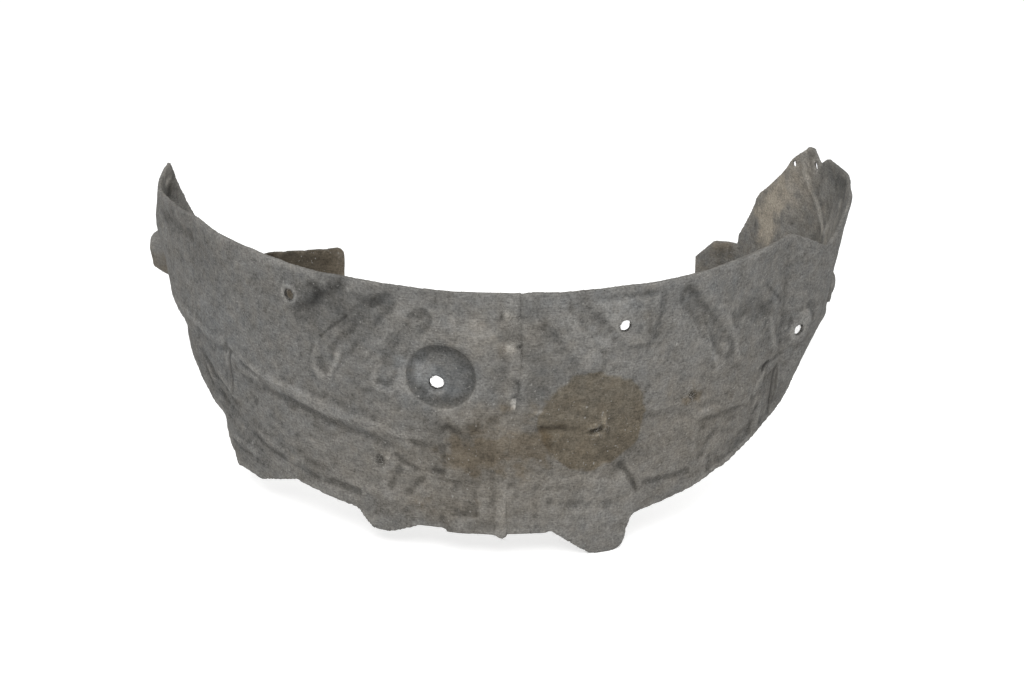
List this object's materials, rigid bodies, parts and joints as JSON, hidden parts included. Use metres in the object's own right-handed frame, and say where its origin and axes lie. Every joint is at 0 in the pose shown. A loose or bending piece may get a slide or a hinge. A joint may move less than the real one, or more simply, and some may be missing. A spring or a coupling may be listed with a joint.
{
  "type": "wheel arch liner",
  "caption": "Rear wheel arch liner of moulded needle felt: an arched shell with stiffening beads, a sunk dish, edge tongues and fixing holes, lapped and spot-welded at the crown.",
  "frame": {"origin": "on the wheel's axis, at the height of the surface that the liner stands on", "axes": "+Z along the wheel's axis towards the clean rim, +Y from the crown of the arch towards the wheel's axis, +X towards the rear end"},
  "size_m": [0.8025, 0.56, 0.298],
  "materials": {
    "felt": "matte grey needle felt, worn and muddy"
  },
  "bodies": {
    "root": {"front_half_shell": "felt", "rear_half_shell": "felt"}
  },
  "joints": []
}
